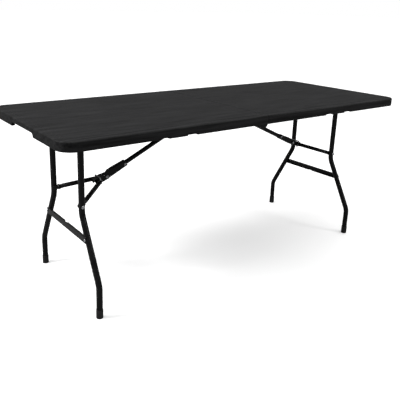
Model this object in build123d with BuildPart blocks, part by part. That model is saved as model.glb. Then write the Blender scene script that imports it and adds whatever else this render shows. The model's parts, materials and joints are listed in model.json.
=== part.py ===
from build123d import *
import math
import os

os.makedirs("parts", exist_ok=True)

# Bi-fold folding table, millimetres, +Z up, origin on the floor under the middle of the top.
# The right-hand end is modelled at +X and mirrored in the YZ plane for the left-hand end.

# Driving dimensions
length = 1800.0
width = 740.0
height = 740.0

# Tabletop halves
skirt_depth = 36.5
deck = 8.5
rim = 14.0
seam_wall = 8.0
seam_gap = 0.4
corner_radius = 60.0
edge_radius = 6.0
scoop_width = 226.0
scoop_depth = 16.5
scoop_corner = 14.0
notch_width = 47.0
notch_depth = 4.5
notch_corner = 3.0
over = 2.0

# Leg frames
pivot_inset = 170.0
splay = 1.18
leg_radius = 12.5
tube_wall = 1.2
deck_gap = 2.0
upper_leg_y = 136.0
foot_y = 276.0
knee_below = 330.0
ankle_below = 582.6
bend_radius = 70.0
cope_start = 3.0
pivot_tube_half = 334.5
journal_radius = 6.0
running_gap = 0.06
bush_radius = 9.0
bush_inner = 335.0
bush_outer = 341.0
foot_radius = 14.0
foot_cap_height = 38.0
foot_floor = 4.5
foot_fit = 0.1
foot_edge = 2.0
stretcher_below = 420.5
stretcher_half = 190.0
stretcher_tall = 25.0
stretcher_deep = 9.5
relief_half = 12.0
relief_left = 4.5
plate = 1.5
small_rivet = 3.0
small_head = 6.0
head_thick = 2.4
knee_rivet_below = 300.5
rivet_radius = 4.0
rivet_head = 7.0
open_gap = 0.3

# Brace linkage
anchor_x = 24.0
anchor_z_below_deck = 10.5
brace_slack = 0.9
brace_tube_radius = 10.0
channel_length = 106.0
channel_half = 13.5
channel_neck_half = 11.85
channel_taper_start = 46.0
channel_taper_end = 92.0
channel_plate = 1.8
channel_low = 10.8
channel_high = 15.2
channel_rise_start = 9.0
channel_rise_end = 18.0
channel_tail = 12.0
tube_start = 93.0
eye_radius = 8.0
channel_rivet_at = 99.0
neck_length = 58.0
neck_half = 16.8
neck_plate = 1.5
neck_top = 13.1
neck_bottom = 11.0
neck_end_radius = 11.0
neck_web_start = 12.5
arm_radius = 9.5
arm_start = 42.0
arm_bend_back = 25.0
arm_bend_radius = 30.0
arm_end_back = 9.0
tab_thick = 4.0
tab_radius = 11.0
bail_stock = 4.0
bail_at = 35.0
bail_half_inner = 19.6
bail_top_inner = 14.4
bail_foot_inner = 11.4
bail_foot_reach = 14.3
ear_gap = 0.4
ear_thick = 2.0
ear_radius = 8.0
ear_flange = 16.0
ear_length = 30.0

# Side rails, centre hinge and carry handle
rail_inner = 337.5
rail_plate = 2.0
rail_start = 30.0
rail_end_inset = 130.0
rail_drop = 26.5
rail_flange = 15.0
leaf_plate = 2.5
leaf_gap = 0.4
lobe_radius = 24.0
pocket_radius = 25.5
pocket_inner = 336.5
pocket_outer = 347.8
leaf_arm = 110.0
leaf_low = 3.5
leaf_high = 23.5
hinge_head = 6.5
handle_x = 450.0
handle_leg_x = 64.0
handle_leg_width = 44.0
handle_thick = 8.0
handle_reach = 112.0
handle_pivot_y = 328.0
handle_pivot_rise = 4.5
handle_barrel = 6.0
handle_pin = 3.0
grip_radius = 9.0
bracket_depth = 12.0
bracket_gap = 0.3
rail_notch_side = 2.0
rail_notch_clear = 1.0

# Levels and points that follow from the dimensions
skirt_z = height - skirt_depth
deck_z = height - deck
pivot_z = deck_z - deck_gap - leg_radius
pivot_x = length / 2 - pivot_inset
rail_end = length / 2 - rail_end_inset
slope = math.radians(splay)
ENDS = (("front", -1), ("back", 1))


def drop(z):
    """Distance along the splayed leg from its pivot down to height z."""
    return (pivot_z - z) / math.cos(slope)


out = Vector(math.cos(slope), 0, math.sin(slope))
leg_plane = Plane(origin=(pivot_x, 0, pivot_z), x_dir=(0, 1, 0), z_dir=out)


def leg_point(y, d, off=0.0):
    """A point y across the leg frame, d down from the pivot and off outward of its plane."""
    return leg_plane.from_local_coords(Vector(y, -d, off))


knee_rivet = leg_point(0, drop(pivot_z - knee_rivet_below))
anchor = Vector(anchor_x, 0, deck_z - anchor_z_below_deck)
folded_rivet = Vector(pivot_x - drop(pivot_z - knee_rivet_below), 0, pivot_z)
span = (knee_rivet - anchor).length
folded_span = (folded_rivet - anchor).length
brace_v_reach = (span - folded_span + brace_slack) / 2
brace_reach = brace_v_reach + folded_span
along = (brace_reach**2 - brace_v_reach**2 + span**2) / (2 * span)
sag = math.sqrt(brace_reach**2 - along**2)
to_knee = (knee_rivet - anchor).normalized()
joint = anchor + to_knee * along - Vector(-to_knee.Z, 0, to_knee.X) * sag

brace_dir = (anchor - joint).normalized()
brace_up = Vector(brace_dir.Z, 0, -brace_dir.X)
arm_dir = (knee_rivet - joint).normalized()
arm_up = Vector(-arm_dir.Z, 0, arm_dir.X)
brace_side = Plane(origin=joint, x_dir=brace_dir, z_dir=(0, 1, 0))
brace_plan = Plane(origin=joint, x_dir=brace_dir, z_dir=brace_up)
arm_side = Plane(origin=joint, x_dir=arm_dir, z_dir=(0, -1, 0))
arm_plan = Plane(origin=joint, x_dir=arm_dir, z_dir=arm_up)


def keep(node, solid):
    solid.label = node
    export_step(solid, f"parts/{node}.step")


def keep_ends(node, solid):
    keep(f"right_{node}", solid)
    keep(f"left_{node}", mirror(solid, about=Plane.YZ))


def pin_along_y(radius, y0, y1, x, z, mode=Mode.ADD):
    """A cylinder along Y from y0 to y1 at the given x and z."""
    with Locations((x, (y0 + y1) / 2, z)):
        Cylinder(radius, abs(y1 - y0), rotation=(90, 0, 0), mode=mode)


def half_outline(inset, seam):
    """Half of the rounded tabletop outline, inset all round and starting at x = seam."""
    RectangleRounded(length - 2 * inset, width - 2 * inset, corner_radius - inset)
    with Locations(((length / 2 + seam) / 2, 0)):
        Rectangle(length / 2 - seam, width, mode=Mode.INTERSECT)


# Tabletop half: deck, skirt and seam wall moulded in one
with BuildPart() as top:
    with BuildSketch(Plane.XY.offset(skirt_z)):
        half_outline(0, seam_gap / 2)
    extrude(amount=skirt_depth)
    upper = top.faces().sort_by(Axis.Z)[-1]
    fillet(upper.edges().filter_by(lambda e: e.center().X > seam_gap), edge_radius)
    with BuildSketch(Plane.XY.offset(skirt_z)):
        half_outline(rim, seam_gap / 2 + seam_wall)
    extrude(amount=skirt_depth - deck, mode=Mode.SUBTRACT)
    with BuildSketch(Plane.YZ.offset(length / 2 - rim - over)):
        with Locations((0, skirt_z)):
            RectangleRounded(scoop_width, 2 * scoop_depth, scoop_corner)
    extrude(amount=rim + 2 * over, mode=Mode.SUBTRACT)
    with BuildSketch(Plane.XZ.offset(width / 2 - rim - over)):
        with Locations(*[(handle_x + s * handle_leg_x, skirt_z) for s in (-1, 1)]):
            RectangleRounded(notch_width, 2 * notch_depth, notch_corner)
    extrude(amount=rim + 2 * over, mode=Mode.SUBTRACT)
    for _, side in ENDS:
        pin_along_y(pocket_radius, side * pocket_inner, side * pocket_outer, 0, skirt_z, Mode.SUBTRACT)
keep_ends("top", top.part)

# Pressed-steel side rails that carry the leg pivots
for end, side in ENDS:
    with BuildPart() as rail:
        with BuildSketch(Plane.YZ.offset(rail_start)):
            with Locations((side * (rail_inner + rail_plate / 2), deck_z - rail_drop / 2)):
                Rectangle(rail_plate, rail_drop)
            with Locations((side * (rail_inner + (rail_plate + rail_flange) / 2), deck_z - plate / 2)):
                Rectangle(rail_plate + rail_flange, plate)
        extrude(amount=rail_end - rail_start)
        pin_along_y(bush_radius, side * (rail_inner - over), side * (rail_inner + rail_plate + over),
                    pivot_x, pivot_z, Mode.SUBTRACT)
        if side < 0:
            notch_top = skirt_z + notch_depth + rail_notch_clear
            with Locations(*[(handle_x + s * handle_leg_x, -rail_inner, notch_top - skirt_depth / 2)
                             for s in (-1, 1)]):
                Box(notch_width + 2 * rail_notch_side, 4 * rail_plate, skirt_depth, mode=Mode.SUBTRACT)
    keep_ends(f"rail_{end}", rail.part)

# Plastic bushes that the leg frame turns in
with BuildPart() as bushes:
    for _, side in ENDS:
        pin_along_y(bush_radius, side * bush_inner, side * bush_outer, pivot_x, pivot_z)
        pin_along_y(journal_radius + running_gap, side * (bush_inner - over), side * (bush_outer + over),
                    pivot_x, pivot_z, Mode.SUBTRACT)
keep_ends("pivot_bushes", bushes.part)

# Pivot tube across the top of each leg frame, with its two journals
with BuildPart() as pivot_tube:
    pin_along_y(leg_radius, -pivot_tube_half, pivot_tube_half, pivot_x, pivot_z)
    pin_along_y(journal_radius, -bush_outer - plate, bush_outer + plate, pivot_x, pivot_z)
    pin_along_y(journal_radius - tube_wall, -bush_outer - over, bush_outer + over, pivot_x, pivot_z,
                Mode.SUBTRACT)
    hollow = pivot_tube_half - tube_wall
    pin_along_y(leg_radius - tube_wall, -hollow, hollow, pivot_x, pivot_z, Mode.SUBTRACT)
keep_ends("pivot_tube", pivot_tube.part)

# Wishbone legs, foot caps and the rivets on them
leg_length = drop(0)
stretcher_drop = drop(pivot_z - stretcher_below)
knee_drop = drop(pivot_z - knee_below)
ankle_drop = drop(pivot_z - ankle_below)
flare = (foot_y - upper_leg_y) / (ankle_drop - knee_drop)
leg_y_at_stretcher = upper_leg_y + flare * (stretcher_drop - knee_drop)

for end, side in ENDS:
    with BuildPart() as leg:
        with BuildLine(leg_plane) as route:
            FilletPolyline((side * upper_leg_y, -cope_start), (side * upper_leg_y, -knee_drop),
                           (side * foot_y, -ankle_drop), (side * foot_y, foot_floor - leg_length),
                           radius=bend_radius)
        with BuildSketch(Plane(origin=route.wire() @ 0, z_dir=route.wire() % 0)):
            Circle(leg_radius)
            Circle(leg_radius - tube_wall, mode=Mode.SUBTRACT)
        sweep()
        pin_along_y(leg_radius, side * (upper_leg_y - 2 * leg_radius), side * (upper_leg_y + 2 * leg_radius),
                    pivot_x, pivot_z, Mode.SUBTRACT)
        pin_along_y(rivet_radius, side * (upper_leg_y - 2 * leg_radius), side * (upper_leg_y + 2 * leg_radius),
                    knee_rivet.X, knee_rivet.Z, Mode.SUBTRACT)
        with BuildSketch(Plane(origin=leg_point(side * leg_y_at_stretcher, stretcher_drop), z_dir=out)):
            Circle(small_rivet)
        extrude(amount=2 * leg_radius, mode=Mode.SUBTRACT)
    keep_ends(f"leg_{end}", leg.part)

    with BuildPart() as foot:
        cap_plane = Plane(origin=leg_point(side * foot_y, leg_length + foot_cap_height),
                          z_dir=leg_point(0, 0) - leg_point(0, 1))
        with BuildSketch(cap_plane):
            Circle(foot_radius)
        extrude(amount=2 * foot_cap_height)
        with Locations((pivot_x, side * foot_y, -foot_cap_height)):
            Box(6 * foot_radius, 6 * foot_radius, 2 * foot_cap_height, mode=Mode.SUBTRACT)
        fillet(foot.faces().sort_by(Axis.Z)[0].edges(), foot_edge)
        bore_plane = Plane(origin=leg_point(side * foot_y, leg_length - foot_floor),
                           z_dir=cap_plane.z_dir)
        with BuildSketch(bore_plane):
            Circle(leg_radius + foot_fit)
        extrude(amount=2 * foot_cap_height, mode=Mode.SUBTRACT)
    keep_ends(f"foot_{end}", foot.part)

with BuildPart() as knee_rivets:
    for _, side in ENDS:
        inner = side * (upper_leg_y - leg_radius)
        outer = side * (upper_leg_y + leg_radius)
        pin_along_y(rivet_radius, inner, outer + side * head_thick, knee_rivet.X, knee_rivet.Z)
        pin_along_y(rivet_head, outer, outer + side * head_thick, knee_rivet.X, knee_rivet.Z)
keep_ends("knee_rivets", knee_rivets.part)

# Lower stretcher: a shallow channel on the outer side of both legs, notched over their tubes, with a
# relief in the middle of its flanges where the folded brace tube lies
stretcher_side = Plane(origin=leg_point(0, stretcher_drop), x_dir=out, z_dir=(0, -1, 0))
web_x = leg_radius + plate
with BuildPart() as stretcher:
    with BuildSketch(stretcher_side):
        with Locations((web_x - stretcher_deep / 2, 0)):
            Rectangle(stretcher_deep, stretcher_tall)
        with Locations((web_x - plate - stretcher_deep / 2, 0)):
            Rectangle(stretcher_deep, stretcher_tall - 2 * plate, mode=Mode.SUBTRACT)
    extrude(amount=stretcher_half, both=True)
    with BuildSketch(stretcher_side):
        with Locations((web_x - relief_left - stretcher_deep / 2, 0)):
            Rectangle(stretcher_deep, 2 * stretcher_tall)
    extrude(amount=relief_half, both=True, mode=Mode.SUBTRACT)
    for _, side in ENDS:
        run = (leg_point(side * foot_y, ankle_drop) - leg_point(side * upper_leg_y, knee_drop)).normalized()
        middle = leg_point(side * leg_y_at_stretcher, stretcher_drop)
        with BuildSketch(Plane(origin=middle, z_dir=run)):
            Circle(leg_radius)
        extrude(amount=3 * stretcher_tall, both=True, mode=Mode.SUBTRACT)
        with BuildSketch(Plane(origin=middle, z_dir=out)):
            Circle(small_rivet)
        extrude(amount=2 * leg_radius, mode=Mode.SUBTRACT)
keep_ends("stretcher", stretcher.part)

with BuildPart() as stretcher_rivets:
    for _, side in ENDS:
        base = leg_point(side * leg_y_at_stretcher, stretcher_drop, leg_radius - tube_wall - plate)
        with BuildSketch(Plane(origin=base, z_dir=out)):
            Circle(small_rivet)
        extrude(amount=tube_wall + 2 * plate)
        face = leg_point(side * leg_y_at_stretcher, stretcher_drop, web_x)
        with BuildSketch(Plane(origin=face, z_dir=out)):
            Circle(small_head)
        extrude(amount=head_thick)
keep_ends("stretcher_rivets", stretcher_rivets.part)

# Brace channel, with its tube, rivet and anchor. It is open underneath; its back rises from the joint
# and tapers down to the tube. The outer form comes first, then the space inside its plate.
channel_forms = []
for wall in (0, channel_plate):
    reach = channel_length + (over if wall else 0)
    floor = channel_low + (over if wall else 0)
    with BuildPart() as form:
        with BuildSketch(brace_side):
            with BuildLine():
                Polyline((-2 * channel_low, -floor), (-2 * channel_low, channel_low - wall),
                         (channel_rise_start, channel_low - wall), (channel_rise_end, channel_high - wall),
                         (channel_taper_start, channel_high - wall), (channel_taper_end, channel_tail - wall),
                         (reach, channel_tail - wall), (reach, -floor), close=True)
            make_face()
        extrude(amount=channel_half, both=True)
        with BuildSketch(brace_plan):
            with BuildLine():
                Polyline((-2 * channel_low, channel_half - wall), (channel_taper_start, channel_half - wall),
                         (channel_taper_end, channel_neck_half - wall), (reach, channel_neck_half - wall),
                         (reach, 0), (-2 * channel_low, 0), close=True)
            make_face()
            mirror(about=Plane.XZ)
        extrude(amount=2 * channel_high, both=True, mode=Mode.INTERSECT)
    channel_forms.append(form.part)

with BuildPart() as channel:
    add(channel_forms[0])
    add(channel_forms[1], mode=Mode.SUBTRACT)
    with BuildSketch(brace_side):
        with Locations((-channel_low, 0)):
            Rectangle(2 * channel_low, 3 * channel_high)
        Circle(channel_low, mode=Mode.SUBTRACT)
    extrude(amount=2 * channel_half, both=True, mode=Mode.SUBTRACT)
    with BuildSketch(brace_side):
        Circle(rivet_radius + running_gap)
        with Locations((channel_rivet_at, 0)):
            Circle(small_rivet)
    extrude(amount=2 * channel_half, both=True, mode=Mode.SUBTRACT)
keep_ends("brace_channel", channel.part)

with BuildPart() as brace_tube:
    with BuildSketch(Plane(origin=joint + brace_dir * tube_start, z_dir=brace_dir)):
        Circle(brace_tube_radius)
        Circle(brace_tube_radius - tube_wall, mode=Mode.SUBTRACT)
    extrude(amount=brace_reach - tube_start - eye_radius)
    with BuildSketch(brace_side):
        with Locations((brace_reach, 0)):
            Circle(eye_radius)
        with Locations((brace_reach - eye_radius, 0)):
            Rectangle(2 * eye_radius, 2 * eye_radius - 2 * over)
    extrude(amount=brace_tube_radius - plate, both=True)
    with BuildSketch(brace_side):
        with Locations((brace_reach, 0)):
            Circle(rivet_radius + running_gap)
        with Locations((channel_rivet_at, 0)):
            Circle(small_rivet)
    extrude(amount=2 * brace_tube_radius, both=True, mode=Mode.SUBTRACT)
keep_ends("brace_tube", brace_tube.part)

with BuildPart() as channel_rivet:
    rivet_at = joint + brace_dir * channel_rivet_at
    pin_along_y(small_rivet, -channel_neck_half, channel_neck_half, rivet_at.X, rivet_at.Z)
    for _, side in ENDS:
        pin_along_y(small_head, side * channel_neck_half, side * (channel_neck_half + head_thick),
                    rivet_at.X, rivet_at.Z)
keep_ends("channel_rivet", channel_rivet.part)

ear_inner = brace_tube_radius + ear_gap
for end, side in ENDS:
    with BuildPart() as bracket:
        with BuildSketch(Plane.XZ.offset(-side * ear_inner)):
            with Locations((anchor.X, anchor.Z)):
                Circle(ear_radius)
            with Locations((anchor.X + ear_length / 2 - ear_radius, (anchor.Z + deck_z) / 2)):
                Rectangle(ear_length, deck_z - anchor.Z)
        extrude(amount=-side * ear_thick)
        with Locations((anchor.X + ear_length / 2 - ear_radius,
                        side * (ear_inner + (ear_thick + ear_flange) / 2), deck_z - plate / 2)):
            Box(ear_length, ear_thick + ear_flange, plate)
        pin_along_y(rivet_radius, 0, side * 3 * ear_inner, anchor.X, anchor.Z, Mode.SUBTRACT)
    keep_ends(f"anchor_bracket_{end}", bracket.part)

with BuildPart() as anchor_pin:
    pin_along_y(rivet_radius, -ear_inner - ear_thick, ear_inner + ear_thick, anchor.X, anchor.Z)
    for _, side in ENDS:
        face = side * (ear_inner + ear_thick)
        pin_along_y(rivet_head, face, face + side * head_thick, anchor.X, anchor.Z)
keep_ends("anchor_pin", anchor_pin.part)

# V brace: neck channel, two arms and the joint rivet
with BuildPart() as neck:
    with BuildSketch(arm_side):
        with BuildLine():
            Polyline((0, neck_top), (neck_length, neck_top), (neck_length, -neck_bottom), (0, -neck_bottom),
                     close=True)
        make_face()
        Circle(neck_end_radius)
    extrude(amount=neck_half, both=True)
    with BuildSketch(arm_side):
        with Locations((neck_length / 2, -neck_plate)):
            Rectangle(2 * neck_length, 2 * neck_top)
    extrude(amount=neck_half - neck_plate, both=True, mode=Mode.SUBTRACT)
    with BuildSketch(arm_side):
        with Locations((neck_web_start - neck_length, neck_top)):
            Rectangle(2 * neck_length, 2 * (neck_top - neck_end_radius))
    extrude(amount=2 * neck_half, both=True, mode=Mode.SUBTRACT)
    with BuildSketch(arm_side):
        Circle(rivet_radius)
    extrude(amount=2 * neck_half, both=True, mode=Mode.SUBTRACT)
keep_ends("v_neck", neck.part)

arm_inner_y = neck_half + arm_radius
tab_outer = upper_leg_y - leg_radius - open_gap
arm_outer_y = tab_outer - over - arm_radius
for end, side in ENDS:
    with BuildPart() as arm:
        with BuildLine(arm_plan) as arm_route:
            FilletPolyline((arm_start, side * arm_inner_y),
                           (brace_v_reach - arm_bend_back, side * arm_outer_y),
                           (brace_v_reach - arm_end_back, side * arm_outer_y), radius=arm_bend_radius)
        with BuildSketch(Plane(origin=arm_route.wire() @ 0, z_dir=arm_route.wire() % 0)):
            Circle(arm_radius)
        sweep()
        tab_from = Plane(origin=joint + Vector(0, side * (tab_outer - tab_thick), 0), x_dir=arm_dir,
                         z_dir=(0, -1, 0))
        with BuildSketch(tab_from):
            with Locations((brace_v_reach, 0)):
                Circle(tab_radius)
            with Locations((brace_v_reach - tab_radius, 0)):
                Rectangle(2 * tab_radius, 2 * arm_radius)
        extrude(amount=-side * tab_thick)
    keep_ends(f"v_arm_{end}", arm.part)

with BuildPart() as joint_rivet:
    pin_along_y(rivet_radius, -neck_half, neck_half, joint.X, joint.Z)
    for _, side in ENDS:
        pin_along_y(rivet_head, side * neck_half, side * (neck_half + head_thick), joint.X, joint.Z)
keep_ends("joint_rivet", joint_rivet.part)

# Lock bail: a bent rod straddling the neck, with feet turned in under its sides
bail_width = 2 * (bail_half_inner + bail_stock)
bail_tall = bail_top_inner + bail_foot_inner
bail_mid = (bail_top_inner - bail_foot_inner) / 2
bail_plane = Plane(origin=joint + arm_dir * (bail_at - bail_stock / 2), x_dir=(0, 1, 0), z_dir=arm_dir)
with BuildPart() as bail:
    with BuildSketch(bail_plane):
        with Locations((0, bail_mid)):
            RectangleRounded(bail_width, bail_tall + 2 * bail_stock, bail_stock)
            Rectangle(2 * bail_half_inner, bail_tall, mode=Mode.SUBTRACT)
        with Locations((0, -bail_foot_inner)):
            Rectangle(2 * bail_foot_reach, 3 * bail_stock, mode=Mode.SUBTRACT)
    extrude(amount=bail_stock)
keep_ends("lock_bail", bail.part)

# Centre hinge: a leaf on each rail, the lobes side by side on one pin
LEAVES = (("left", -1, rail_inner + rail_plate),
          ("right", 1, rail_inner + rail_plate + leaf_plate + leaf_gap))
for half, way, layer in LEAVES:
    for end, side in ENDS:
        with BuildPart() as leaf:
            with BuildSketch(Plane.XZ.offset(-side * layer)):
                with Locations((0, skirt_z)):
                    Circle(lobe_radius)
                with Locations((way * leaf_arm / 2, skirt_z + (leaf_low + leaf_high) / 2)):
                    Rectangle(leaf_arm, leaf_high - leaf_low)
            extrude(amount=-side * leaf_plate)
            pad = layer - rail_inner - rail_plate
            if pad > 0:
                with Locations((way * (leaf_arm + rail_start) / 2, side * (layer - pad / 2),
                                skirt_z + (leaf_low + leaf_high) / 2)):
                    Box(leaf_arm - rail_start, pad, leaf_high - leaf_low)
            hole = rivet_radius + (running_gap if pad > 0 else 0)
            pin_along_y(hole, side * (layer - over), side * (layer + leaf_plate + over), 0, skirt_z,
                        Mode.SUBTRACT)
        keep(f"{half}_hinge_leaf_{end}", leaf.part)

pin_inner = rail_inner + rail_plate
pin_outer = pin_inner + 2 * leaf_plate + leaf_gap
for end, side in ENDS:
    with BuildPart() as hinge_pin:
        pin_along_y(rivet_radius, side * pin_inner, side * (pin_outer + leaf_gap), 0, skirt_z)
        pin_along_y(hinge_head, side * (pin_inner - head_thick), side * pin_inner, 0, skirt_z)
        pin_along_y(hinge_head, side * (pin_outer + leaf_gap), side * (pin_outer + head_thick), 0, skirt_z)
    keep(f"hinge_pin_{end}", hinge_pin.part)

# Carry handle, stowed inside the left half, with its brackets and pins
handle_z = skirt_z + handle_pivot_rise
leg_z = handle_z + handle_pivot_rise + handle_thick / 2
handle_legs = [("outer", -handle_x - handle_leg_x), ("inner", -handle_x + handle_leg_x)]
with BuildPart() as handle:
    for _, x in handle_legs:
        with Locations((x, -handle_pivot_y + handle_reach / 2, leg_z)):
            Box(handle_leg_width, handle_reach, handle_thick)
        with Locations((x, -handle_pivot_y, handle_z)):
            Cylinder(handle_barrel, handle_leg_width, rotation=(0, 90, 0))
            Cylinder(handle_pin + running_gap, handle_leg_width + over, rotation=(0, 90, 0),
                     mode=Mode.SUBTRACT)
    with Locations((-handle_x, -handle_pivot_y + handle_reach, leg_z)):
        Cylinder(grip_radius, 2 * handle_leg_x + handle_leg_width, rotation=(0, 90, 0))
keep("handle", handle.part)

ear_x = handle_leg_width / 2 + bracket_gap
for place, x in handle_legs:
    with BuildPart() as handle_bracket:
        with Locations((x, -handle_pivot_y, deck_z - plate / 2)):
            Box(2 * (ear_x + ear_thick), bracket_depth, plate)
        with Locations(*[(x + s * (ear_x + ear_thick / 2), -handle_pivot_y,
                          (deck_z + handle_z - handle_barrel) / 2) for s in (-1, 1)]):
            Box(ear_thick, bracket_depth, deck_z - handle_z + handle_barrel)
        with Locations((x, -handle_pivot_y, handle_z)):
            Cylinder(handle_pin, 3 * handle_leg_width, rotation=(0, 90, 0), mode=Mode.SUBTRACT)
    keep(f"handle_bracket_{place}", handle_bracket.part)
    with BuildPart() as pin:
        with Locations((x, -handle_pivot_y, handle_z)):
            Cylinder(handle_pin, 2 * (ear_x + ear_thick), rotation=(0, 90, 0))
    keep(f"handle_pin_{place}", pin.part)
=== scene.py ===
# %% [markdown]
# Folding table. The imported CAD model is the fixed frame: every size and place below is read from it.

# %% Load the frame
import json
import math

import bmesh
import bpy
from mathutils import Matrix, Vector


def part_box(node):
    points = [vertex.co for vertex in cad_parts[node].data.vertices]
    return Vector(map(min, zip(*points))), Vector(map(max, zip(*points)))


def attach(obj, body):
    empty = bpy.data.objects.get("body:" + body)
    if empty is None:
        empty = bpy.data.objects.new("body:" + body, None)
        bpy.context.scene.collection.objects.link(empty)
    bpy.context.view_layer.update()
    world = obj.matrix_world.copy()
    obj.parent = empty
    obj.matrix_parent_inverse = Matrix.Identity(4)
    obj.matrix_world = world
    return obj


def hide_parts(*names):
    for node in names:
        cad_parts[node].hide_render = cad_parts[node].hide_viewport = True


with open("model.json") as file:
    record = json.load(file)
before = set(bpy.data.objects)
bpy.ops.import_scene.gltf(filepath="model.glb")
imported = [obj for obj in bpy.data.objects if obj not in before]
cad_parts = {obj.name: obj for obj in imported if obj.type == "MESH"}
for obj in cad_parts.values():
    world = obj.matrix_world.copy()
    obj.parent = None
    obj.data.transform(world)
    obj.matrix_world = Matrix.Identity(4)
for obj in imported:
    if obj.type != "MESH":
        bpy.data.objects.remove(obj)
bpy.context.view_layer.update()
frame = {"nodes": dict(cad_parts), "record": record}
scene = bpy.context.scene
top_low, top_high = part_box("right_top")

# %% [markdown]
# The camera comes first, so that every later step can be looked at as it is made. It stands at the front
# left corner, a little above the top. Its axes are built from a heading, a dip and a small roll.

# %% Camera
CAMERA_PLACE = Vector((-1.5136, -1.8513, 1.1509))
HEADING = 0.627
DIP = 0.342
ROLL = 0.023
FOCAL = 46.37
SENSOR = 36.0
SHIFT = (0.05, -0.025)


def make_camera():
    ahead = Vector((math.sin(HEADING) * math.cos(DIP), math.cos(HEADING) * math.cos(DIP), -math.sin(DIP)))
    right = ahead.cross(Vector((0, 0, 1))).normalized()
    up = right.cross(ahead)
    right_r = right * math.cos(ROLL) + up * math.sin(ROLL)
    up_r = up * math.cos(ROLL) - right * math.sin(ROLL)
    turn = Matrix((right_r, up_r, -ahead)).transposed().to_4x4()
    data = bpy.data.cameras.new("camera")
    data.lens = FOCAL
    data.sensor_width = SENSOR
    data.shift_x, data.shift_y = SHIFT
    camera = bpy.data.objects.new("camera", data)
    camera.matrix_world = Matrix.Translation(CAMERA_PLACE) @ turn
    scene.collection.objects.link(camera)
    scene.camera = camera
    return camera


camera = make_camera()
print("camera at", tuple(camera.location), "lens", camera.data.lens)

# %% [markdown]
# A studio for a black object: the backdrop that the camera sees is white, while the light that the world
# gives is weaker, so that the plastic and the tubes stay dark. A very soft sun overhead lights the floor
# evenly. The floor throws back less light than it shows, as black card does under a black product, and it
# is lifted a little for the camera alone, so that its shadow stays faint. Two smaller lights put long
# highlights on the rounded edges and the tubes.

# %% Studio
FLOOR_HALF = 80.0
BACKDROP = 1.0
WORLD_LIGHT = 0.16
SUN_STRENGTH = 2.9
SUN_ANGLE = math.radians(100)
WHITE = (1.0, 1.0, 1.0, 1.0)
FLOOR_SEEN = (0.94, 0.94, 0.94, 1.0)
FLOOR_BOUNCE = (0.22, 0.22, 0.22, 1.0)
FLOOR_LIFT = 0.24
LIGHTS = (
    ("left_strip", (-3.1, 0.9, 2.5), (-0.7, 0.1, 0.3), 0.8, 90.0),
    ("right_strip", (2.2, -2.8, 2.6), (0.4, 0.0, 0.3), 0.8, 34.0),
)


def node_material(name):
    material = bpy.data.materials.new(name)
    material.use_nodes = True
    tree = material.node_tree
    return material, tree, tree.nodes["Principled BSDF"]


def make_world():
    world = bpy.data.worlds.new("pale_world")
    world.use_nodes = True
    nodes = world.node_tree.nodes
    links = world.node_tree.links
    light = nodes["Background"]
    light.inputs["Color"].default_value = WHITE
    light.inputs["Strength"].default_value = WORLD_LIGHT
    seen = nodes.new("ShaderNodeBackground")
    seen.inputs["Color"].default_value = WHITE
    seen.inputs["Strength"].default_value = BACKDROP
    ray = nodes.new("ShaderNodeLightPath")
    choose = nodes.new("ShaderNodeMixShader")
    links.new(ray.outputs["Is Camera Ray"], choose.inputs["Fac"])
    links.new(light.outputs["Background"], choose.inputs[1])
    links.new(seen.outputs["Background"], choose.inputs[2])
    links.new(choose.outputs["Shader"], nodes["World Output"].inputs["Surface"])
    scene.world = world


def make_floor():
    bm = bmesh.new()
    bmesh.ops.create_grid(bm, x_segments=1, y_segments=1, size=FLOOR_HALF)
    mesh = bpy.data.meshes.new("floor")
    bm.to_mesh(mesh)
    bm.free()
    floor = bpy.data.objects.new("floor", mesh)
    scene.collection.objects.link(floor)
    material, tree, shader = node_material("pale_floor")
    ray = tree.nodes.new("ShaderNodeLightPath")
    choose = tree.nodes.new("ShaderNodeMix")
    choose.data_type = "RGBA"
    choose.inputs["A"].default_value = FLOOR_BOUNCE
    choose.inputs["B"].default_value = FLOOR_SEEN
    tree.links.new(ray.outputs["Is Camera Ray"], choose.inputs["Factor"])
    tree.links.new(choose.outputs["Result"], shader.inputs["Base Color"])
    lift = tree.nodes.new("ShaderNodeMath")
    lift.operation = "MULTIPLY"
    lift.inputs[1].default_value = FLOOR_LIFT
    tree.links.new(ray.outputs["Is Camera Ray"], lift.inputs[0])
    tree.links.new(lift.outputs["Value"], shader.inputs["Emission Strength"])
    shader.inputs["Emission Color"].default_value = WHITE
    shader.inputs["Roughness"].default_value = 1.0
    shader.inputs["Specular IOR Level"].default_value = 0.0
    mesh.materials.append(material)


def make_lights():
    sun = bpy.data.lights.new("overhead", "SUN")
    sun.energy = SUN_STRENGTH
    sun.angle = SUN_ANGLE
    scene.collection.objects.link(bpy.data.objects.new("overhead", sun))
    for name, place, aim, size, power in LIGHTS:
        data = bpy.data.lights.new(name, "AREA")
        data.size = size
        data.energy = power
        light = bpy.data.objects.new(name, data)
        light.location = place
        light.rotation_euler = (Vector(aim) - Vector(place)).to_track_quat("-Z", "Y").to_euler()
        scene.collection.objects.link(light)


make_world()
make_floor()
make_lights()
scene.view_settings.view_transform = "Standard"
print("studio with", len(LIGHTS), "lights")

# %% [markdown]
# Four finishes cover the table. Each is a small node tree on object coordinates, in metres, so a pattern's
# scale is its real scale. Helpers add one noise, one colour ramp between two tones and one bump.

# %% Material helpers


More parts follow.
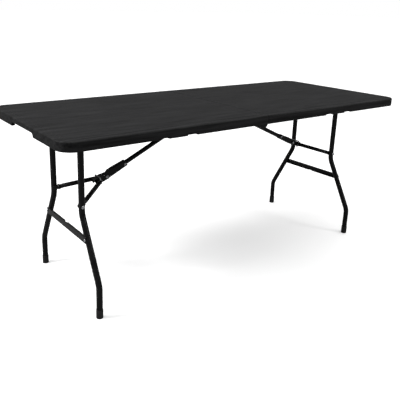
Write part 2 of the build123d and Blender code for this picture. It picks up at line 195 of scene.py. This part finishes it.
def noise(tree, scale, stretch=(1, 1, 1), detail=4.0, roughness=0.55):
    """A noise on object coordinates; stretch scales the coordinates along each axis."""
    place = tree.nodes.new("ShaderNodeTexCoord")
    mapping = tree.nodes.new("ShaderNodeMapping")
    mapping.inputs["Scale"].default_value = stretch
    texture = tree.nodes.new("ShaderNodeTexNoise")
    texture.inputs["Scale"].default_value = scale
    texture.inputs["Detail"].default_value = detail
    texture.inputs["Roughness"].default_value = roughness
    tree.links.new(place.outputs["Object"], mapping.inputs["Vector"])
    tree.links.new(mapping.outputs["Vector"], texture.inputs["Vector"])
    return texture.outputs["Fac"]


def tones(tree, factor, dark, light, low=0.35, high=0.65):
    """A ramp from one grey or colour to another over part of the factor's range."""
    ramp = tree.nodes.new("ShaderNodeValToRGB")
    ramp.color_ramp.elements[0].position = low
    ramp.color_ramp.elements[0].color = (*dark, 1.0)
    ramp.color_ramp.elements[1].position = high
    ramp.color_ramp.elements[1].color = (*light, 1.0)
    tree.links.new(factor, ramp.inputs["Fac"])
    return ramp.outputs["Color"]


def bump(tree, height, depth, strength=1.0, onto=None):
    """A bump of the given depth in metres, on top of another one if given."""
    node = tree.nodes.new("ShaderNodeBump")
    node.inputs["Distance"].default_value = depth
    node.inputs["Strength"].default_value = strength
    tree.links.new(height, node.inputs["Height"])
    if onto is not None:
        tree.links.new(onto, node.inputs["Normal"])
    return node.outputs["Normal"]


# %% [markdown]
# The tabletop is black moulded polyethylene. Its mould has a fine leather-like grain and faint streaks
# along the length, like wood. Streaks come from a noise whose coordinates are squeezed along X.

# %% Moulded plastic of the top


def moulded_top():
    material, tree, shader = node_material("moulded_top_plastic")
    streaks = noise(tree, 1.0, (4.0, 85.0, 85.0), detail=7.0, roughness=0.7)
    grain = noise(tree, 900.0, detail=2.0)
    pores = noise(tree, 1.0, (60.0, 900.0, 900.0), detail=3.0)
    colour = tones(tree, streaks, (0.002, 0.002, 0.0022), (0.018, 0.018, 0.0187), 0.34, 0.60)
    gloss = tones(tree, grain, (0.52, 0.52, 0.52), (0.64, 0.64, 0.64))
    tree.links.new(colour, shader.inputs["Base Color"])
    tree.links.new(gloss, shader.inputs["Roughness"])
    normal = bump(tree, streaks, 0.00025, 0.5)
    normal = bump(tree, pores, 0.00012, 0.5, normal)
    normal = bump(tree, grain, 0.00008, 0.6, normal)
    tree.links.new(normal, shader.inputs["Normal"])
    shader.inputs["Specular IOR Level"].default_value = 0.1
    return material


# %% [markdown]
# The frame is steel tube under a hammered powder coat: thick, slightly lumpy, dark grey to black. The lumps
# are a cell pattern a few millimetres across, with a finer orange peel on top.

# %% Powder-coated steel


def powder_coat():
    material, tree, shader = node_material("hammered_powder_coat")
    place = tree.nodes.new("ShaderNodeTexCoord")
    cells = tree.nodes.new("ShaderNodeTexVoronoi")
    cells.feature = "SMOOTH_F1"
    cells.inputs["Scale"].default_value = 260.0
    tree.links.new(place.outputs["Object"], cells.inputs["Vector"])
    peel = noise(tree, 1400.0, detail=2.0)
    patches = noise(tree, 35.0, detail=3.0)
    colour = tones(tree, patches, (0.003, 0.003, 0.0032), (0.008, 0.008, 0.0084))
    gloss = tones(tree, patches, (0.20, 0.20, 0.20), (0.32, 0.32, 0.32))
    tree.links.new(colour, shader.inputs["Base Color"])
    tree.links.new(gloss, shader.inputs["Roughness"])
    normal = bump(tree, cells.outputs["Distance"], 0.0003, 0.3)
    normal = bump(tree, peel, 0.00006, 0.5, normal)
    tree.links.new(normal, shader.inputs["Normal"])
    shader.inputs["Specular IOR Level"].default_value = 0.22
    return material


# %% [markdown]
# Rivets, pins and bails are zinc-plated. Plating is bright but cloudy, so both its colour and its
# roughness wander a little, and fine scratches run through it.

# %% Zinc plate and black plastic


def zinc_plate():
    material, tree, shader = node_material("zinc_plate")
    clouds = noise(tree, 120.0, detail=4.0)
    scratches = noise(tree, 1.0, (300.0, 2500.0, 300.0), detail=2.0)
    colour = tones(tree, clouds, (0.42, 0.43, 0.44), (0.66, 0.67, 0.69))
    gloss = tones(tree, clouds, (0.24, 0.24, 0.24), (0.42, 0.42, 0.42))
    tree.links.new(colour, shader.inputs["Base Color"])
    tree.links.new(gloss, shader.inputs["Roughness"])
    tree.links.new(bump(tree, scratches, 0.00003, 0.5), shader.inputs["Normal"])
    shader.inputs["Metallic"].default_value = 1.0
    return material


def cap_plastic():
    material, tree, shader = node_material("black_cap_plastic")
    fine = noise(tree, 700.0, detail=3.0)
    scuffs = noise(tree, 45.0, detail=5.0, roughness=0.7)
    colour = tones(tree, scuffs, (0.004, 0.004, 0.004), (0.011, 0.011, 0.0115))
    gloss = tones(tree, scuffs, (0.42, 0.42, 0.42), (0.62, 0.62, 0.62))
    tree.links.new(colour, shader.inputs["Base Color"])
    tree.links.new(gloss, shader.inputs["Roughness"])
    tree.links.new(bump(tree, fine, 0.00008, 0.6), shader.inputs["Normal"])
    return material


FINISH = {
    "moulded_top": moulded_top(),
    "powder_coated_steel": powder_coat(),
    "zinc_plated_steel": zinc_plate(),
    "black_plastic": cap_plastic(),
}
slot_of = {s["node"]: s["material_slot"] for s in frame["record"]["subparts"]}
body_of = {n: b for b, names in frame["record"]["behaviour"]["bodies"].items() for n in names}
print("finishes:", ", ".join(sorted(FINISH)))

# %% [markdown]
# Every steel and plastic piece keeps the shape that the CAD gives it. The CAD mesh is loose triangles, so
# a copy has its doubles merged and is shaded smooth, with edges sharper than a set angle kept crisp. The
# copy stands for the node and rides on the same body.

# %% Smooth copies of the CAD nodes
MERGE = 1e-6
CRISP = math.radians(32)


def finish_mesh(mesh):
    mesh.shade_smooth()
    mesh.set_sharp_from_angle(angle=CRISP)


def place_piece(name, mesh, slot, body, *stands_for):
    """Links a finished mesh as a piece, with its finish, its body and the CAD nodes that it replaces."""
    piece = bpy.data.objects.new(name, mesh)
    scene.collection.objects.link(piece)
    if not mesh.materials:
        mesh.materials.append(FINISH[slot])
    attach(piece, body)
    if stands_for:
        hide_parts(*stands_for)
    return piece


def smooth_copy(node):
    bm = bmesh.new()
    bm.from_mesh(frame["nodes"][node].data)
    bmesh.ops.remove_doubles(bm, verts=bm.verts, dist=MERGE)
    mesh = bpy.data.meshes.new(node + "_piece")
    bm.to_mesh(mesh)
    bm.free()
    finish_mesh(mesh)
    return place_piece(node + "_piece", mesh, slot_of[node], body_of[node], node)


TOPS = ("left_top", "right_top")
for node in sorted(frame["nodes"]):
    if node not in TOPS:
        smooth_copy(node)
print("smooth copies:", len(frame["nodes"]) - len(TOPS))

# %% [markdown]
# A tabletop half is one moulding. It is made as a stack of closed outlines, each a half of a rounded
# rectangle, joined ring to ring: up the inner wall, under the skirt, up the outside, over the rounded edge,
# then down and up again in the thin groove that runs round the top a little way in. Sizes come from the
# packed box of the right half; the left half is its mirror.

# %% Outline of a half
REACH = top_high.x
HALF_WIDTH = top_high.y
TOP = top_high.z
SKIRT_BOTTOM = top_low.z
SEAM = top_low.x
CORNER = 0.060
CORNER_STEPS = 20
RIM = 0.014
SEAM_WALL = 0.008
DECK = 0.0085
EDGE = 0.006
EDGE_STEPS = 6
SEAM_EDGE = 0.0016
SEAM_CORNER = 0.0018
INNER_CORNER = 0.0005
SEAM_STEPS = 4
FOOT_EDGE = 0.0012
GROOVE_IN = 0.026
GROOVE_WIDTH = 0.0050
GROOVE_DEEP = 0.0018
GROOVE_SEAM = 0.0045
GROOVE_PROFILE = ((0.0, 0.0), (0.3, 0.7), (0.5, 1.0), (0.7, 0.7), (1.0, 0.0))
CEILING_SINK = 0.002


def half_outline(inset, seam_inset, z):
    """Points of the half's outline, anticlockwise from the front of the seam."""
    radius = CORNER - inset
    seam_x = SEAM + seam_inset
    ease = SEAM_CORNER if inset < RIM else INNER_CORNER
    bends = [math.radians(90.0 * step / SEAM_STEPS) for step in range(SEAM_STEPS + 1)]
    points = [(seam_x + ease * (1 - math.cos(a)), -HALF_WIDTH + inset + ease * (1 - math.sin(a)), z)
              for a in bends]
    for way, start in ((-1, -90.0), (1, 0.0)):
        for step in range(CORNER_STEPS + 1):
            angle = math.radians(start + 90.0 * step / CORNER_STEPS)
            points.append((REACH - CORNER + radius * math.cos(angle),
                           way * (HALF_WIDTH - CORNER) + radius * math.sin(angle), z))
    points += [(x, -y, z) for x, y, z in reversed(points[:SEAM_STEPS + 1])]
    return points


def top_rings():
    """The insets and heights of each ring, from the ceiling of the underside to the middle of the top."""
    rings = [(RIM, SEAM_WALL, TOP - DECK + CEILING_SINK), (RIM, SEAM_WALL, SKIRT_BOTTOM + FOOT_EDGE),
             (RIM - FOOT_EDGE, SEAM_WALL - FOOT_EDGE, SKIRT_BOTTOM),
             (FOOT_EDGE, FOOT_EDGE / 2, SKIRT_BOTTOM), (0.0, 0.0, SKIRT_BOTTOM + FOOT_EDGE)]
    for step in range(EDGE_STEPS + 1):
        angle = math.radians(90.0 * step / EDGE_STEPS)
        rings.append((EDGE * (1 - math.cos(angle)), SEAM_EDGE * (1 - math.cos(angle)),
                      TOP - EDGE * (1 - math.sin(angle))))
    for share, sink in GROOVE_PROFILE:
        rings.append((GROOVE_IN + share * GROOVE_WIDTH, GROOVE_SEAM + share * GROOVE_WIDTH,
                      TOP - sink * GROOVE_DEEP))
    return rings


def rings_to_mesh(rings):
    bm = bmesh.new()
    loops = [[bm.verts.new(p) for p in half_outline(*ring)] for ring in rings]
    count = len(loops[0])
    for lower, upper in zip(loops, loops[1:]):
        for i in range(count):
            j = (i + 1) % count
            bm.faces.new((lower[i], lower[j], upper[j], upper[i]))
    bm.faces.new(loops[-1])
    bm.faces.new(list(reversed(loops[0])))
    bmesh.ops.recalc_face_normals(bm, faces=bm.faces)
    return bm


blank = rings_to_mesh(top_rings())
print("blank half:", len(blank.faces), "faces")

# %% [markdown]
# Cuts in the skirt are boolean differences: a finger scoop in the end, two shallow slots for the carry
# handle in the front, and a round pocket on each side for the hinge lobes. A cutter is a rounded rectangle
# or a circle, drawn in two axes and pushed through along the third.

# %% Cutters for the skirt
SCOOP_WIDTH = 0.226
SCOOP_DEPTH = 0.0165
SCOOP_CORNER = 0.014
SLOT_WIDTH = 0.047
SLOT_DEPTH = 0.0045
SLOT_CORNER = 0.003
SLOT_X = (0.386, 0.514)
POCKET = 0.0255
POCKET_Y = (0.3365, 0.3478)
ARC_STEPS = 8
CIRCLE_STEPS = 64
CUT_BITE = 0.003


def rounded_rectangle(width, tall, corner):
    points = []
    for start, sx, sy in ((0, 1, 1), (90, -1, 1), (180, -1, -1), (270, 1, -1)):
        for step in range(ARC_STEPS + 1):
            angle = math.radians(start + 90.0 * step / ARC_STEPS)
            points.append((sx * (width / 2 - corner) + corner * math.cos(angle),
                           sy * (tall / 2 - corner) + corner * math.sin(angle)))
    return points


def circle(radius):
    angles = [2 * math.pi * i / CIRCLE_STEPS for i in range(CIRCLE_STEPS)]
    return [(radius * math.cos(angle), radius * math.sin(angle)) for angle in angles]


def prism(outline, place):
    """A prism whose two ends are place(u, v, 0) and place(u, v, 1) of each outline point."""
    bm = bmesh.new()
    ends = [[bm.verts.new(place(u, v, end)) for u, v in outline] for end in (0, 1)]
    for i in range(len(outline)):
        j = (i + 1) % len(outline)
        bm.faces.new((ends[0][i], ends[0][j], ends[1][j], ends[1][i]))
    bm.faces.new(ends[1])
    bm.faces.new(list(reversed(ends[0])))
    bmesh.ops.recalc_face_normals(bm, faces=bm.faces)
    return bm


def cutters():
    start, push = RIM + CUT_BITE, RIM + 2 * CUT_BITE
    scoop = rounded_rectangle(SCOOP_WIDTH, 2 * SCOOP_DEPTH, SCOOP_CORNER)
    yield prism(scoop, lambda u, v, end: (REACH - start + end * push, u, SKIRT_BOTTOM + v))
    slot = rounded_rectangle(SLOT_WIDTH, 2 * SLOT_DEPTH, SLOT_CORNER)
    for x in SLOT_X:
        yield prism(slot, lambda u, v, end, x=x: (x + u, -HALF_WIDTH - CUT_BITE + end * push,
                                                  SKIRT_BOTTOM + v))
    for way in (-1, 1):
        yield prism(circle(POCKET), lambda u, v, end, way=way: (u, way * POCKET_Y[end], SKIRT_BOTTOM + v))


def cut(bm, cutter_meshes, name):
    mesh = bpy.data.meshes.new(name)
    bm.to_mesh(mesh)
    bm.free()
    work = bpy.data.objects.new(name, mesh)
    scene.collection.objects.link(work)
    tools = []
    for number, cutter in enumerate(cutter_meshes):
        tool_mesh = bpy.data.meshes.new(f"{name}_cutter_{number}")
        cutter.to_mesh(tool_mesh)
        cutter.free()
        tool = bpy.data.objects.new(tool_mesh.name, tool_mesh)
        scene.collection.objects.link(tool)
        tools.append(tool)
        modifier = work.modifiers.new("cut", "BOOLEAN")
        modifier.operation = "DIFFERENCE"
        modifier.solver = "EXACT"
        modifier.object = tool
    result = bpy.data.meshes.new_from_object(work.evaluated_get(bpy.context.evaluated_depsgraph_get()))
    for thing in [work] + tools:
        bpy.data.objects.remove(thing)
    return result


right_mesh = cut(blank, cutters(), "right_half")
print("right half after cuts:", len(right_mesh.polygons), "faces")

# %% [markdown]
# The left half is the same mesh mirrored, with its faces turned back outwards. The two large flat faces of
# each half are shaded flat, so that the groove next to them does not tilt their shading.

# %% Both tabletop halves
FLAT_AREA = 0.1


def mirrored(mesh, name):
    copy = mesh.copy()
    copy.name = name
    copy.transform(Matrix.Scale(-1, 4, Vector((1, 0, 0))))
    copy.flip_normals()
    return copy


left_mesh = mirrored(right_mesh, "left_half")
for mesh, node in ((left_mesh, "left_top"), (right_mesh, "right_top")):
    finish_mesh(mesh)
    for face in mesh.polygons:
        if face.area > FLAT_AREA:
            face.use_smooth = False
    place_piece(node + "_moulding", mesh, "moulded_top", node, node)
print("tabletop halves placed")

# %% [markdown]
# The underside of such a top is kissed down to the upper skin in rows of small dents, which make the
# hollow moulding stiff. Geometry Nodes press them into a fine grid: each point's height depends on how far
# it is from the middle of its own cell. A thin slab is then given its thickness by extruding its faces.

# %% Dented underside by Geometry Nodes
DENT_PITCH = 0.038
DENT_RADIUS = 0.011
DENT_DEEP = 0.0016
GRID_STEP = 0.0048
SLAB = 0.0012
SLAB_BITE = 0.001
DENT_FLAT = 0.35


def math_node(tree, operation, a, b=None):
    node = tree.nodes.new("ShaderNodeMath")
    node.operation = operation
    for socket, value in zip(node.inputs, (a, b)):
        if value is None:
            continue
        if isinstance(value, (int, float)):
            socket.default_value = value
        else:
            tree.links.new(value, socket)
    return node.outputs["Value"]


def tree_with_inputs(name, inputs):
    """A geometry node tree with a Geometry output and named inputs of (name, kind, value)."""
    tree = bpy.data.node_groups.new(name, "GeometryNodeTree")
    tree.interface.new_socket("Geometry", in_out="OUTPUT", socket_type="NodeSocketGeometry")
    for label, kind, value in inputs:
        socket = tree.interface.new_socket(label, in_out="INPUT", socket_type=kind)
        if value is not None:
            socket.default_value = value
    return tree, tree.nodes.new("NodeGroupInput"), tree.nodes.new("NodeGroupOutput")


def end_tree(tree, geometry, output, material):
    """Ends a tree the way the export needs: real geometry, then its material."""
    realize = tree.nodes.new("GeometryNodeRealizeInstances")
    setter = tree.nodes.new("GeometryNodeSetMaterial")
    setter.inputs["Material"].default_value = material
    tree.links.new(geometry, realize.inputs["Geometry"])
    tree.links.new(realize.outputs["Geometry"], setter.inputs["Geometry"])
    tree.links.new(setter.outputs["Geometry"], output.inputs["Geometry"])


def run_tree(tree, name, values):
    """Evaluates a tree on an empty mesh with the given inputs and returns the plain mesh."""
    holder = bpy.data.objects.new(name, bpy.data.meshes.new(name + "_start"))
    scene.collection.objects.link(holder)
    modifier = holder.modifiers.new("nodes", "NODES")
    modifier.node_group = tree
    for item in tree.interface.items_tree:
        if item.in_out == "INPUT" and item.name in values:
            modifier[item.identifier] = values[item.name]
    mesh = bpy.data.meshes.new_from_object(holder.evaluated_get(bpy.context.evaluated_depsgraph_get()))
    bpy.data.objects.remove(holder)
    mesh.name = name
    return mesh


def dent_tree():
    tree, given, output = tree_with_inputs("dented_slab", (
        ("Pitch", "NodeSocketFloat", DENT_PITCH), ("Radius", "NodeSocketFloat", DENT_RADIUS),
        ("Depth", "NodeSocketFloat", DENT_DEEP), ("Size X", "NodeSocketFloat", 0.8),
        ("Size Y", "NodeSocketFloat", 0.7), ("Count X", "NodeSocketInt", 100),
        ("Count Y", "NodeSocketInt", 100), ("Middle", "NodeSocketVector", None)))
    grid = tree.nodes.new("GeometryNodeMeshGrid")
    tree.links.new(given.outputs["Size X"], grid.inputs["Size X"])
    tree.links.new(given.outputs["Size Y"], grid.inputs["Size Y"])
    tree.links.new(given.outputs["Count X"], grid.inputs["Vertices X"])
    tree.links.new(given.outputs["Count Y"], grid.inputs["Vertices Y"])
    position = tree.nodes.new("GeometryNodeInputPosition")
    split = tree.nodes.new("ShaderNodeSeparateXYZ")
    tree.links.new(position.outputs["Position"], split.inputs["Vector"])
    squares = []
    for axis in ("X", "Y"):
        cell = math_node(tree, "DIVIDE", split.outputs[axis], given.outputs["Pitch"])
        off = math_node(tree, "SUBTRACT", cell, math_node(tree, "ROUND", cell))
        distance = math_node(tree, "MULTIPLY", off, given.outputs["Pitch"])
        squares.append(math_node(tree, "MULTIPLY", distance, distance))
    radial = math_node(tree, "SQRT", math_node(tree, "ADD", squares[0], squares[1]))
    share = tree.nodes.new("ShaderNodeMapRange")
    share.interpolation_type = "SMOOTHSTEP"
    share.inputs["To Min"].default_value = 1.0
    share.inputs["To Max"].default_value = 0.0
    tree.links.new(radial, share.inputs["Value"])
    tree.links.new(math_node(tree, "MULTIPLY", given.outputs["Radius"], DENT_FLAT), share.inputs["From Min"])
    tree.links.new(given.outputs["Radius"], share.inputs["From Max"])
    lift = math_node(tree, "MULTIPLY", share.outputs["Result"], given.outputs["Depth"])
    offset = tree.nodes.new("ShaderNodeCombineXYZ")
    tree.links.new(lift, offset.inputs["Z"])
    dented = tree.nodes.new("GeometryNodeSetPosition")
    tree.links.new(grid.outputs["Mesh"], dented.inputs["Geometry"])
    tree.links.new(offset.outputs["Vector"], dented.inputs["Offset"])
    placed = tree.nodes.new("GeometryNodeTransform")
    tree.links.new(dented.outputs["Geometry"], placed.inputs["Geometry"])
    tree.links.new(given.outputs["Middle"], placed.inputs["Translation"])
    end_tree(tree, placed.outputs["Geometry"], output, FINISH["moulded_top"])
    return tree


def outward_from(bm, upward):
    """Turns an open sheet's faces to point up or down."""
    for face in bm.faces:
        if (face.normal.z > 0) != upward:
            face.normal_flip()


def make_underside(side, tree):
    low_x, high_x = SEAM + SEAM_WALL - SLAB_BITE, REACH - RIM + SLAB_BITE
    size_x, size_y = high_x - low_x, 2 * (HALF_WIDTH - RIM + SLAB_BITE)
    mesh = run_tree(tree, f"{side}_underside", {
        "Size X": size_x, "Size Y": size_y, "Count X": int(size_x / GRID_STEP),
        "Count Y": int(size_y / GRID_STEP), "Pitch": DENT_PITCH, "Radius": DENT_RADIUS, "Depth": DENT_DEEP,
        "Middle": ((1 if side == "right" else -1) * (low_x + high_x) / 2, 0.0, TOP - DECK)})
    bm = bmesh.new()
    bm.from_mesh(mesh)
    inner = CORNER - RIM
    outside = []
    for vert in bm.verts:
        dx, dy = abs(vert.co.x) - (REACH - CORNER), abs(vert.co.y) - (HALF_WIDTH - CORNER)
        if dx > 0 and dy > 0 and math.hypot(dx, dy) > inner + SLAB_BITE:
            outside.append(vert)
    bmesh.ops.delete(bm, geom=outside, context="VERTS")
    bmesh.ops.recalc_face_normals(bm, faces=bm.faces)
    outward_from(bm, False)
    result = bmesh.ops.extrude_face_region(bm, geom=bm.faces[:])
    lifted = [item for item in result["geom"] if isinstance(item, bmesh.types.BMVert)]
    bmesh.ops.translate(bm, verts=lifted, vec=(0, 0, SLAB))
    bmesh.ops.recalc_face_normals(bm, faces=bm.faces)
    bm.to_mesh(mesh)
    bm.free()
    finish_mesh(mesh)
    piece = place_piece(f"{side}_underside", mesh, "moulded_top", f"{side}_top")
    print(piece.name, len(mesh.polygons), "faces")


slab_tree = dent_tree()
for side in ("left", "right"):
    make_underside(side, slab_tree)

# %% [markdown]
# Pan-head screws hold the rails to the deck. One small head is a washer and a rounded cap with a cross; a
# mesh line puts it at even steps along a rail. The heads face down, under the rail's flange.

# %% Rail screws by Geometry Nodes
SCREW_COUNT = 6
SCREW_RADIUS = 0.0042
SCREW_TALL = 0.0022
WASHER_RADIUS = 0.0052
WASHER_TALL = 0.0006
CROSS_LONG = 0.0046
CROSS_WIDE = 0.0009
FLANGE_THICK = 0.0015
HEAD_TAPER = 0.62
CROSS_TALL = 0.0004
SCREW_MARGIN = 0.04
SCREW_IN = 0.0065


def screw_tree():
    tree, given, output = tree_with_inputs("screw_row", (
        ("Count", "NodeSocketInt", SCREW_COUNT), ("Start", "NodeSocketVector", None),
        ("Step", "NodeSocketVector", None), ("Head Radius", "NodeSocketFloat", SCREW_RADIUS),
        ("Head Height", "NodeSocketFloat", SCREW_TALL)))
    row = tree.nodes.new("GeometryNodeMeshLine")
    tree.links.new(given.outputs["Count"], row.inputs["Count"])
    tree.links.new(given.outputs["Start"], row.inputs["Start Location"])
    tree.links.new(given.outputs["Step"], row.inputs["Offset"])
    washer = tree.nodes.new("GeometryNodeMeshCylinder")
    washer.inputs["Vertices"].default_value = 24
    washer.inputs["Radius"].default_value = WASHER_RADIUS
    washer.inputs["Depth"].default_value = WASHER_TALL
    head = tree.nodes.new("GeometryNodeMeshCone")
    head.inputs["Vertices"].default_value = 20
    tip = math_node(tree, "MULTIPLY", given.outputs["Head Radius"], HEAD_TAPER)
    tree.links.new(tip, head.inputs["Radius Bottom"])
    tree.links.new(given.outputs["Head Radius"], head.inputs["Radius Top"])
    tree.links.new(given.outputs["Head Height"], head.inputs["Depth"])
    parts = tree.nodes.new("GeometryNodeJoinGeometry")
    for shape, drop in ((washer, WASHER_TALL / 2), (head, WASHER_TALL + SCREW_TALL)):
        move = tree.nodes.new("GeometryNodeTransform")
        move.inputs["Translation"].default_value = (0, 0, -drop)
        tree.links.new(shape.outputs["Mesh"], move.inputs["Geometry"])
        tree.links.new(move.outputs["Geometry"], parts.inputs["Geometry"])
    for size in ((CROSS_LONG, CROSS_WIDE, CROSS_TALL), (CROSS_WIDE, CROSS_LONG, CROSS_TALL)):
        bar = tree.nodes.new("GeometryNodeMeshCube")
        bar.inputs["Size"].default_value = size
        move = tree.nodes.new("GeometryNodeTransform")
        move.inputs["Translation"].default_value = (0, 0, -(WASHER_TALL + SCREW_TALL))
        tree.links.new(bar.outputs["Mesh"], move.inputs["Geometry"])
        tree.links.new(move.outputs["Geometry"], parts.inputs["Geometry"])
    copies = tree.nodes.new("GeometryNodeInstanceOnPoints")
    tree.links.new(row.outputs["Mesh"], copies.inputs["Points"])
    tree.links.new(parts.outputs["Geometry"], copies.inputs["Instance"])
    end_tree(tree, copies.outputs["Instances"], output, FINISH["zinc_plated_steel"])
    return tree


rail_tree = screw_tree()
for side, way in (("left", -1), ("right", 1)):
    low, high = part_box(f"{side}_rail_back")
    first = min(abs(low.x), abs(high.x)) + SCREW_MARGIN
    step = (abs(high.x - low.x) - 2 * SCREW_MARGIN) / (SCREW_COUNT - 1)
    rows = bmesh.new()
    for depth in (-1, 1):
        y = depth * (high.y - SCREW_IN)
        mesh = run_tree(rail_tree, f"{side}_rail_screws", {
            "Count": SCREW_COUNT, "Start": (way * first, y, TOP - DECK - FLANGE_THICK),
            "Step": (way * step, 0.0, 0.0), "Head Radius": SCREW_RADIUS, "Head Height": SCREW_TALL})
        rows.from_mesh(mesh)
    rows.to_mesh(mesh)
    rows.free()
    finish_mesh(mesh)
    place_piece(f"{side}_rail_screws", mesh, "zinc_plated_steel", f"{side}_top")
    print(side, "rail screws:", len(mesh.polygons), "faces")

# %% [markdown]
# Last, the view layer is brought up to date.

# %% Finish
bpy.context.view_layer.update()
